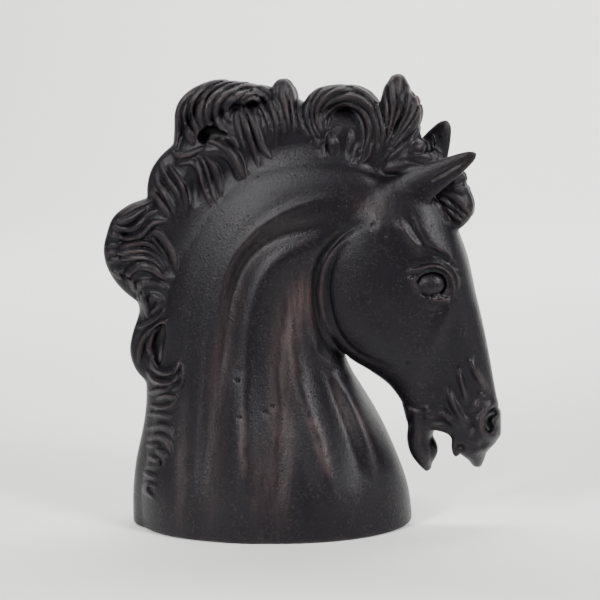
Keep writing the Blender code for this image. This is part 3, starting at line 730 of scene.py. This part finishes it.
class Sheet:
    """Values over a rectangle of the view's pixels, a few samples to a pixel."""

    def __init__(self, low, high, fine):
        self.low = np.array(low, float)
        self.fine = fine
        self.shape = tuple(((np.array(high) - self.low) * fine).astype(int) + 1)
        self.axes = [self.low[i] + np.arange(self.shape[i]) / fine for i in range(2)]

    def window(self, points, reach):
        """Slices and coordinates of the samples within reach of the points."""
        first = np.clip(((points.min(0) - reach - self.low) * self.fine).astype(int), 0, self.shape)
        last = np.clip(((points.max(0) + reach - self.low) * self.fine).astype(int) + 2, 0, self.shape)
        part = tuple(slice(a, b) for a, b in zip(first, last))
        return part, self.axes[0][part[0]][:, None], self.axes[1][part[1]][None, :]

    def from_line(self, pixels, half_width, reach):
        """Distance to a smooth line as a share of its half width there, the side, and that half width."""
        length = np.hypot(*np.diff(np.asarray(pixels, float), axis=0).T).sum()
        path = curve_through(pixels, max(8, int(length / 2.5)))
        wide = half_width * swell(len(path), 0.4)
        whole, u, v = self.window(path, reach)
        near = np.full((u.size, v.size), NO_LINE)
        side = np.zeros_like(near)
        own = np.full_like(near, half_width)
        for a, b, first, second in zip(path, path[1:], wide, wide[1:]):
            part, u, v = self.window(np.stack((a, b)), reach)
            inner = tuple(slice(p.start - w.start, p.stop - w.start) for p, w in zip(part, whole))
            run = b - a
            share = np.clip(((u - a[0]) * run[0] + (v - a[1]) * run[1]) / (run @ run + 1e-9), 0, 1)
            aside = u - a[0] - share * run[0]
            below = v - a[1] - share * run[1]
            width = first + (second - first) * share
            ratio = np.hypot(aside, below) / width
            closer = ratio < near[inner]
            near[inner] = np.where(closer, ratio, near[inner])
            side[inner] = np.where(closer, np.sign(aside * run[1] - below * run[0]), side[inner])
            own[inner] = np.where(closer, width, own[inner])
        return whole, near, side, own

    def sample(self, values, pixels):
        """Values at any pixels, straight between the samples, and zero outside."""
        place = (pixels - self.low) * self.fine
        start = np.floor(place).astype(int)
        inside = ((start >= 0) & (start < np.array(self.shape) - 1)).all(-1)
        start = np.where(inside[..., None], start, 0)
        share = place - start
        i, j = start[..., 0], start[..., 1]
        a, b = share[..., 0], share[..., 1]
        mixed = ((values[i, j] * (1 - a) + values[i + 1, j] * a) * (1 - b)
                 + (values[i, j + 1] * (1 - a) + values[i + 1, j + 1] * a) * b)
        return np.where(inside, mixed, 0)


def combed(sheet):
    """Relief of the combed strands, pixels from the nearest line, and how surely a strand is there.

    Each strand is a ridge whose crest leans to one side, so that one flank is steep and the other
    is broad. Where two strands meet, the groove lies where both lines are equally far away, each
    measured in its own half width, so that the strands fill the mass and pinch together at their tips.
    """
    near = np.full(sheet.shape, NO_LINE)
    second = np.full(sheet.shape, NO_LINE)
    lean = np.ones(sheet.shape)
    own = np.ones(sheet.shape)
    crest = np.zeros(sheet.shape)
    for number, (half_width, pixels) in enumerate(STRANDS):
        part, ratio, side, width = sheet.from_line(pixels, half_width, 2.2 * half_width)
        closer = ratio < near[part]
        second[part] = np.where(closer, near[part], np.minimum(second[part], ratio))
        near[part] = np.where(closer, ratio, near[part])
        lean[part] = np.where(closer, side, lean[part])
        own[part] = np.where(closer, width, own[part])
        # The lean differs from strand to strand, as a sine of the strand's number
        crest[part] = np.where(closer, STRAND_LEAN * math.sin(1.7 * number), crest[part])
    meet = np.minimum(1, (near + second) / 2)
    place = lean * np.clip(near / meet, 0, 1)
    flank = np.where(place > crest, (place - crest) / (1 - crest), (crest - place) / (1 + crest))
    fade = np.clip(1.15 - near, 0, 0.15) / 0.15
    relief = STRAND_ROUND * meet * (1 - flank**STRAND_FALL)
    relief -= STRAND_GROOVE * np.exp(-(((second - near) / GROOVE_WIDTH) ** 2)) * fade
    return relief * own * (VIEW_PIXEL / UNIT), near * own, np.clip(1.1 - near, 0, 0.3) / 0.3


def swell(count, blunt=0.3):
    """Share of the radius along a lock: full in the middle and drawn in at both ends."""
    return np.sin(math.pi * np.linspace(0.01, 0.99, count)) ** blunt


def folded(sheet, folds, one_sided=False):
    """Relief of long folds: each rises or sinks as a bell curve across, and fades out at both ends.

    A one-sided fold falls away slowly on one side, which is the right where its line runs down the
    view, and steeply on the other.
    """
    relief = np.zeros(sheet.shape)
    for width, height, pixels in folds:
        half_width = width * UNIT / VIEW_PIXEL
        part, ratio, side, own = sheet.from_line(pixels, half_width, 2.3 * half_width)
        share = own / half_width
        across = ratio * share
        if one_sided:
            across = np.where(side < 0, LEDGE_STEEP * across, across)
        relief[part] += height * share**2 * np.exp(-(across**2))
    return relief


def shape_body(clay):
    """Long muscles stroked on the neck, then the head and the crest melted to it."""
    sheet = Sheet(*NECK_VIEW, 2)
    clay.press(sheet, folded(sheet, NECK_FOLDS))
    head = clay.distance_to(loft(HEAD))
    for lip in (UPPER_LIP, LOWER_LIP):
        head = melted(head, clay.distance_to(loft(lip)), SOFT["lips"])
    clay.field = melted(clay.field, head, SOFT["head"])
    clay.melt(loft(CREST), SOFT["crest"])


def shape_locks(clay):
    """Thick locks of the mane, each with its mirror image where the two meet on the middle plane."""
    for depth, radius, line in LOCKS.values():
        for side in (-1, 1):
            path = curve_through([(x, side * depth, z) for x, z in line], 22)
            clay.add_tube(path, radius * swell(len(path)), SOFT["lock"])


def shape_strands(clay):
    """Hollows between the locks, the strands combed over them, and the holes cut last."""
    for radius, deep, pixels in MANE_HOLLOWS:
        path = clay.laid(pixels, deep)
        clay.sink_tube(path, radius * swell(len(path), 0.5), SOFT["hollow"])
    sheet = Sheet(*MANE_VIEW, 4)
    clay.press(sheet, combed(sheet)[0] + folded(sheet, MANE_LEDGES, one_sided=True))
    for radius, deep, pixels in MANE_HOLES:
        clay.sink_tube(clay.laid(pixels, deep), radius, SOFT["hole"])
    for radius, (u, v) in PITS:
        clay.sink_tube(clay.laid(((u - 1, v), (u, v), (u + 1, v))), radius, SOFT["pit"])


def shape_face(clay):
    """Eye, nostril, mouth, and the folds and bones of the face."""
    for x, z, radius in MOUTH:
        clay.sink_tube(np.array(((x, -9.0, z), (x, 1.0, z))), radius, SOFT["mouth"])
    for depth, radius, line in LIPS.values():
        path = curve_through([(x, -depth, z) for x, z in line], 12)
        clay.add_tube(path, radius * swell(len(path)), SOFT["lobe"])
    sheet = Sheet(*FACE_VIEW, 4)
    clay.press(sheet, folded(sheet, FACE_FOLDS) + folded(sheet, FACE_LEDGES, one_sided=True))
    for radius, deep, pixels in FACE_HOLLOWS:
        clay.sink_tube(clay.laid(pixels, deep), radius, SOFT["hole"])
    # A slit is sunk round the eyeball, and the ball is laid back in it
    part, gap = clay.ball_gap((EYE[0], -EYE[1], EYE[2]), EYE_HALF)
    clay.field[part] = -melted(-clay.field[part], np.abs(gap) - EYE_SLIT, SOFT["socket"])
    clay.field[part] = melted(clay.field[part], gap + EYE_SLIT * 0.6, SOFT["eyeball"])
    for radius, pixels in LIDS:
        clay.add_tube(clay.laid(pixels), radius, SOFT["lid"])


def turned(tilt, splay):
    """Axes of a form that is tilted up and splayed outwards, as rows."""
    tilt, splay = math.radians(tilt), math.radians(splay)
    flat = np.array((math.cos(splay), math.sin(splay), 0.0))
    along = flat * math.cos(tilt) + np.array((0, 0, math.sin(tilt)))
    aside = np.array((-math.sin(splay), math.cos(splay), 0.0))
    return np.stack((along, aside, np.cross(along, aside)))


def shape_ear(clay, side, root, tilt, splay, length_share, width_share):
    """Leaf-shaped ear, with a shallow furrow along its outer face."""
    length = EAR_LENGTH * length_share
    full = EAR_WIDTH * width_share
    share, width, thickness = curve_through(EAR, 60).T[:, :, None]
    angle = np.linspace(0, 2 * math.pi, 60, endpoint=False)
    broad = width * full / 2 * np.cos(angle)
    thick = width * thickness * full / 2 * np.sin(angle)
    axes = turned(tilt, side * splay)
    rings = (share * length)[..., None] * axes[0] + thick[..., None] * axes[1] + broad[..., None] * axes[2]
    root = np.array((root[0], side * root[1], root[2]))
    gap = clay.distance_to(closed_rings(rings + root))
    clay.field = melted(clay.field, gap, SOFT["ear"])
    up, wide, out = FURROW_PLACE
    furrow = root + up * length * axes[0] + wide * full * axes[2] + side * out * full * axes[1]
    part, gap = clay.ball_gap(furrow, np.array(FURROW_HALF) * (length, full, full), axes)
    clay.field[part] = -melted(-clay.field[part], gap, SOFT["furrow"])


def trim(clay):
    """Cuts the neck off level at z = 0 with its edge rounded over, and keeps the cast in the solid's box."""
    height = clay.axes[2][None, None, :].astype(np.float32)
    clay.field = -melted(-clay.field, np.broadcast_to(height, clay.shape), SOFT["cut"])
    for axis, (low, high) in enumerate(zip(*(np.array(corner) / UNIT for corner in CAD_BOX))):
        place = clay.axes[axis]
        outside = np.maximum(low - place, place - high) + (BOX_GAP if axis < 2 else 0.0)
        shape = [1, 1, 1]
        shape[axis] = -1
        clay.field = np.maximum(clay.field, outside.astype(np.float32).reshape(shape))


def sculpted(grain):
    """The finished block of clay."""
    clay = Clay(grain, loft(NECK))
    shape_body(clay)
    shape_locks(clay)
    shape_face(clay)
    shape_strands(clay)
    clay.mirror()
    for row in EARS:
        shape_ear(clay, *row)
    trim(clay)
    return clay


def mesh_from(name, points, faces):
    """Mesh from whole arrays of points and of faces that all have the same number of corners."""
    mesh = bpy.data.meshes.new(name)
    sides = faces.shape[1]
    mesh.vertices.add(len(points))
    mesh.vertices.foreach_set("co", np.ascontiguousarray(points, np.float32).ravel())
    mesh.loops.add(faces.size)
    mesh.loops.foreach_set("vertex_index", np.ascontiguousarray(faces, np.int32).ravel())
    mesh.polygons.add(len(faces))
    mesh.polygons.foreach_set("loop_start", np.arange(0, faces.size, sides, dtype=np.int32))
    mesh.update(calc_edges=True)
    mesh.validate()
    return mesh


def thinned(piece, most):
    """Thins a piece made of quads to so many triangles at most, which stay where the form needs them."""
    step = piece.modifiers.new("thin", "DECIMATE")
    step.ratio = min(1.0, most / (2 * len(piece.data.polygons)))
    drawn = piece.evaluated_get(bpy.context.evaluated_depsgraph_get())
    mesh = bpy.data.meshes.new_from_object(drawn)
    piece.modifiers.clear()
    old = piece.data
    piece.data = mesh
    bpy.data.meshes.remove(old)


def write_attribute(mesh, name, values):
    """Gives each point of a mesh a named value that the material reads."""
    layer = mesh.attributes.new(name, "FLOAT", "POINT")
    layer.data.foreach_set("value", np.ascontiguousarray(values, np.float32))


def linear(hex_colour):
    """Linear colour of an sRGB hex value."""
    channels = [int(hex_colour[i:i + 2], 16) / 255 for i in (1, 3, 5)]
    return [c / 12.92 if c <= 0.04045 else ((c + 0.055) / 1.055) ** 2.4 for c in channels]


# Sockets that a Mix node keeps for colours: the two that it takes and the one that it gives
FIRST_COLOUR = 6
SECOND_COLOUR = 7
MIXED_COLOUR = 2


def add_node(tree, kind, settings=None, inputs=None):
    """Adds a node, sets its properties, and gives each of its inputs a value or a link."""
    node = tree.nodes.new(kind)
    for key, value in (settings or {}).items():
        setattr(node, key, value)
    for key, value in (inputs or {}).items():
        if isinstance(value, bpy.types.NodeSocket):
            tree.links.new(value, node.inputs[key])
        else:
            node.inputs[key].default_value = value
    return node


def cast_stone(colours):
    """Black cast stone: stone dust in resin, poured in a mould, stained black and waxed over brown.

    The eye gets a violet black with a satin shine, brown where the wax is rubbed or has stayed in
    the valleys, and highlights broken up by the grit and by the open air bubbles of the pour. The
    grooves and the bubbles are painted darker, as painted shade.
    """
    material = bpy.data.materials.new("black cast stone, stained and waxed")
    material.use_nodes = True
    tree = material.node_tree
    tree.nodes.clear()
    place = add_node(tree, "ShaderNodeTexCoord").outputs["Object"]
    values = {}
    for name in ("rub", "painted_groove_shade", "wash", "strand", "mane"):
        values[name] = add_node(tree, "ShaderNodeAttribute", {"attribute_name": name}).outputs["Fac"]
    # Clouds of 22 mm and streaks of 5 by 60 mm break up the wax, grit of 0.9 mm breaks up the shine,
    # and grit of 3 mm is what the mould leaves
    long_way = add_node(tree, "ShaderNodeMapping", inputs={"Vector": place, "Scale": (1.0, 1.0, 0.08)})
    for name, where, scale, detail in (
            ("cloud", place, 45.0, 4.0),
            ("streak", long_way.outputs[0], 190.0, 3.0),
            ("grain", place, 1000.0, 3.0),
            ("mould", place, 330.0, 3.0)):
        noise = add_node(tree, "ShaderNodeTexNoise",
                         inputs={"Vector": where, "Scale": scale, "Detail": detail})
        values[name] = noise.outputs["Fac"]
    # Fine lines 1 to 2 mm apart that follow each strand and drift over 25 mm
    drift = add_node(tree, "ShaderNodeMapping", inputs={"Vector": place, "Scale": (40.0, 40.0, 40.0)})
    comb = add_node(tree, "ShaderNodeTexNoise", {"noise_dimensions": "4D"},
                    {"Vector": drift.outputs[0], "W": values["strand"], "Scale": 1.0, "Detail": 1.0})
    values["comb"] = comb.outputs["Fac"]
    # Air bubbles 1 to 2 mm wide, about 5 mm apart, sunk in the bump and darkened with painted shade
    bubbles = add_node(tree, "ShaderNodeTexVoronoi", inputs={"Vector": place, "Scale": 190.0})
    values["bubble"] = bubbles.outputs["Distance"]
    # Ranges: new name, pattern, from its low to its high, and what these become
    for name, pattern, low, high, first, last in (
            ("hair line", "comb", 0.35, 0.65, -0.5, 0.5),
            ("cloudy", "cloud", 0.35, 0.65, 0.0, 1.0),
            ("dust tops", "mould", 0.52, 0.68, 0.0, 0.3),
            ("dust cloud", "cloud", 0.4, 0.6, 0.3, 1.0),
            ("wax streak", "streak", 0.3, 0.62, 0.25, 1.0),
            ("wax grit", "grain", 0.3, 0.65, 0.5, 1.1),
            ("rub cloud", "cloud", 0.38, 0.62, 0.15, 1.0),
            ("hole all over", "bubble", 0.10, 0.20, 1.0, 0.0),
            ("hole cloud", "cloud", 0.46, 0.52, 0.0, 1.0),
            ("rough", "grain", 0.3, 0.7, 0.28, 0.46)):
        ranged = add_node(tree, "ShaderNodeMapRange", inputs={
            "Value": values[pattern], "From Min": low, "From Max": high, "To Min": first, "To Max": last})
        values[name] = ranged.outputs["Result"]
    # Sums: new name, operation, and the two values or the value and number that it takes
    for name, operation, first, second in (
            ("hair", "MULTIPLY", "hair line", "mane"),
            ("dust", "MULTIPLY", "dust tops", "dust cloud"),
            ("streaky wax", "MULTIPLY", "wash", "wax streak"),
            ("gritty wax", "MULTIPLY", "streaky wax", "wax grit"),
            ("wax", "MINIMUM", "gritty wax", 1.0),
            ("rubbed", "MULTIPLY", "rub", "rub cloud"),
            ("hole", "MULTIPLY", "hole all over", "hole cloud"),
            ("grain height", "MULTIPLY", "grain", 2.0),
            ("mould height", "MULTIPLY", "mould", 2.0),
            ("grit height", "ADD", "grain height", "mould height"),
            ("hole depth", "MULTIPLY", "hole", 3.0),
            ("pitted height", "SUBTRACT", "grit height", "hole depth"),
            ("hair height", "MULTIPLY", "hair", 2.0),
            ("height", "ADD", "pitted height", "hair height")):
        total = add_node(tree, "ShaderNodeMath", {"operation": operation},
                         {0: values[first], 1: values.get(second, second)})
        values[name] = total.outputs[0]
    # Colours laid one over the other, each as strongly as the value named beside it
    colour = (*colours.black, 1.0)
    for name, over in (
            ("cloudy", [0.62 * c for c in colours.black]),
            ("dust", colours.wash),
            ("wax", colours.wash),
            ("rubbed", colours.rubbed),
            # Painted shade: the grooves are darkened to half the black
            ("painted_groove_shade", [0.5 * c for c in colours.black]),
            # Painted shade: the open bubbles are darkened to a fifth of the black
            ("hole", [0.2 * c for c in colours.black])):
        mix = add_node(tree, "ShaderNodeMix", {"data_type": "RGBA"},
                       {"Factor": values[name], FIRST_COLOUR: colour, SECOND_COLOUR: (*over, 1.0)})
        colour = mix.outputs[MIXED_COLOUR]
    # Relief of about 0.2 mm: grit stands up, bubbles sink in and fine lines run along the strands
    bump = add_node(tree, "ShaderNodeBump",
                    inputs={"Height": values["height"], "Strength": 0.75, "Distance": 0.00022})
    shader = add_node(tree, "ShaderNodeBsdfPrincipled", inputs={
        "Base Color": colour, "Roughness": values["rough"], "Normal": bump.outputs["Normal"],
        "Specular IOR Level": 0.25})
    add_node(tree, "ShaderNodeOutputMaterial", inputs={"Surface": shader.outputs[0]})
    return material


def plain(name, colour, roughness):
    """Plain matt paper or paint of one colour."""
    material = bpy.data.materials.new(name)
    material.use_nodes = True
    shader = material.node_tree.nodes["Principled BSDF"]
    shader.inputs["Base Color"].default_value = (*colour, 1.0)
    shader.inputs["Roughness"].default_value = roughness
    return material


def paint_marks(mesh, clay):
    """Writes on each point how rubbed, grooved and waxed it is, and its place on a strand of the mane.

    A point with more air than stone round it stands proud and is rubbed, and one with less lies in a
    groove, where the material paints shade by darkening the stone. Both come from the clay's distances
    averaged over small cubes, and for the painted groove shade over wide cubes too. The far side takes
    the wax and the strands of the near side.
    """
    place = np.empty(len(mesh.vertices) * 3)
    mesh.vertices.foreach_get("co", place)
    place = place.reshape(-1, 3) / UNIT
    fine = clay.value_at(place, blurred(clay.field, 2))
    wide = clay.value_at(place, blurred(clay.field, 6))
    write_attribute(mesh, "rub", np.clip(fine * 5, 0, 1))
    # Painted shade: how deep a point lies in a groove, which the material darkens
    write_attribute(mesh, "painted_groove_shade", np.clip(-fine * 5 - wide * 1.5, 0, 1))
    pixels = to_pixels(place * np.where(place[:, 1:2] > 0, (1, -1, 1), 1))
    sheet = Sheet(*NECK_VIEW, 1)
    write_attribute(mesh, "wash", sheet.sample(folded(sheet, NECK_WASH), pixels))
    sheet = Sheet(*MANE_VIEW, 2)
    for name, values in zip(("strand", "mane"), combed(sheet)[1:]):
        write_attribute(mesh, name, sheet.sample(values, pixels))


def paper_sweep(colour):
    """Paper that runs from in front of the sculpture to a bend behind it, and up as a backdrop."""
    bend = np.linspace(0, math.pi / 2, 24)
    back = PAPER_BACK + PAPER_BEND * np.sin(bend)
    back = np.concatenate(([PAPER_FRONT], back, [PAPER_BACK + PAPER_BEND]))
    rise = np.concatenate(([0.0], PAPER_BEND * (1 - np.cos(bend)), [PAPER_TOP]))
    side = np.array((-PAPER_SIDE, PAPER_SIDE))
    rows = np.stack(np.broadcast_arrays(side[None, :], back[:, None], rise[:, None]), axis=-1)
    first = 2 * np.arange(len(back) - 1)[:, None]
    paper = bpy.data.objects.new("floor", mesh_from("floor", rows.reshape(-1, 3), first + [0, 1, 3, 2]))
    paper.data.materials.append(plain("matt white paper", colour, 0.9))
    paper.data.shade_smooth()
    return paper


def soft_box(name, place, size, power, spread, target):
    """Rectangle of light at a place, turned to face a target."""
    light = bpy.data.lights.new(name, "AREA")
    light.shape = "RECTANGLE"
    light.size, light.size_y = size
    light.energy = power
    light.spread = math.radians(spread)
    lamp = bpy.data.objects.new(name, light)
    lamp.location = place
    lamp.rotation_euler = (Vector(target) - Vector(place)).to_track_quat("-Z", "Y").to_euler()
    return lamp


def pale_room():
    """Even white light from all round, weak enough to leave the soft boxes their shine."""
    world = bpy.data.worlds.new("pale room")
    world.use_nodes = True
    sky = world.node_tree.nodes["Background"]
    sky.inputs["Color"].default_value = (1.0, 1.0, 1.0, 1.0)
    sky.inputs["Strength"].default_value = ROOM_LIGHT
    return world


def view_camera():
    """Camera at the eye's place, with a lens that makes the view as wide as its pixels say."""
    eye, right, up, forward = view_axes()
    camera = bpy.data.cameras.new("camera")
    camera.sensor_width = SENSOR
    camera.lens = VIEW_DISTANCE / VIEW_PIXEL * SENSOR / VIEW_SIZE
    camera.clip_end = 50.0
    stand = bpy.data.objects.new("camera", camera)
    placed = Matrix(np.column_stack((right, up, -forward)).tolist()).to_4x4()
    placed.translation = Vector(eye.tolist())
    stand.matrix_world = placed
    return stand


class SculptureSettings(bpy.types.PropertyGroup):
    """Sizes and colours that a user would change."""

    grain: FloatProperty(name="Grain", description="Cell size of the clay, in hundredths of the height",
                         default=0.25, min=0.15, max=1.0)
    triangles: IntProperty(name="Triangles", description="Most triangles that the cast keeps",
                           default=190000, min=10000, max=199000)
    black: FloatVectorProperty(name="Stone", description="Colour of the stained stone", subtype="COLOR",
                               default=linear("#0f0c13"), min=0, max=1)
    wash: FloatVectorProperty(name="Wax", description="Colour of the brown wax in the valleys",
                              subtype="COLOR", default=linear("#463939"), min=0, max=1)
    rubbed: FloatVectorProperty(name="Rubbed stone", description="Colour where the black is rubbed thin",
                                subtype="COLOR", default=linear("#3a3031"), min=0, max=1)
    floor: FloatVectorProperty(name="Floor", description="Colour of the floor and backdrop", subtype="COLOR",
                               default=linear("#f2f2f0"), min=0, max=1)


class SCULPTURE_OT_cast(bpy.types.Operator):
    """Sculpts the horse's head, neck and mane as one cast"""

    bl_idname = "sculpture.cast"
    bl_label = "Horse head cast"

    def execute(self, context):
        settings = context.scene.sculpture
        clay = sculpted(settings.grain)
        points, quads = clay.skin()
        mesh = mesh_from("horse_head_cast", points * UNIT, quads)
        piece = bpy.data.objects.new("horse_head_cast", mesh)
        context.scene.collection.objects.link(piece)
        thinned(piece, settings.triangles)
        mesh = piece.data
        mesh.name = "horse_head_cast"
        mesh.shade_smooth()
        paint_marks(mesh, clay)
        mesh.materials.clear()
        mesh.materials.append(cast_stone(settings))
        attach(piece, "root")
        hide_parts("horse_head")
        return {"FINISHED"}


class SCULPTURE_OT_stage(bpy.types.Operator):
    """Adds a pale floor, soft lights and the camera"""

    bl_idname = "sculpture.stage"
    bl_label = "Floor, light and camera"

    def execute(self, context):
        scene = context.scene
        floor = paper_sweep(scene.sculpture.floor)
        scene.collection.objects.link(floor)
        for name, row in LIGHTS.items():
            scene.collection.objects.link(soft_box(name, *row))
        scene.world = pale_room()
        scene.camera = view_camera()
        scene.collection.objects.link(scene.camera)
        return {"FINISHED"}


class SCULPTURE_PT_panel(bpy.types.Panel):
    """Lists the sculpture's settings and the buttons that make the cast and the stage"""

    bl_idname = "SCULPTURE_PT_panel"
    bl_label = "Horse head sculpture"
    bl_space_type = "VIEW_3D"
    bl_region_type = "UI"
    bl_category = "Horse head"

    def draw(self, context):
        settings = context.scene.sculpture
        for name in ("grain", "triangles", "black", "wash", "rubbed", "floor"):
            self.layout.prop(settings, name)
        self.layout.operator(SCULPTURE_OT_cast.bl_idname)
        self.layout.operator(SCULPTURE_OT_stage.bl_idname)


CLASSES = (SculptureSettings, SCULPTURE_OT_cast, SCULPTURE_OT_stage, SCULPTURE_PT_panel)


def register():
    for item in CLASSES:
        bpy.utils.register_class(item)
    bpy.types.Scene.sculpture = PointerProperty(type=SculptureSettings)


def unregister():
    del bpy.types.Scene.sculpture
    for item in reversed(CLASSES):
        bpy.utils.unregister_class(item)


def main():
    register()
    bpy.ops.sculpture.cast()
    bpy.ops.sculpture.stage()


if __name__ == "__main__":
    main()
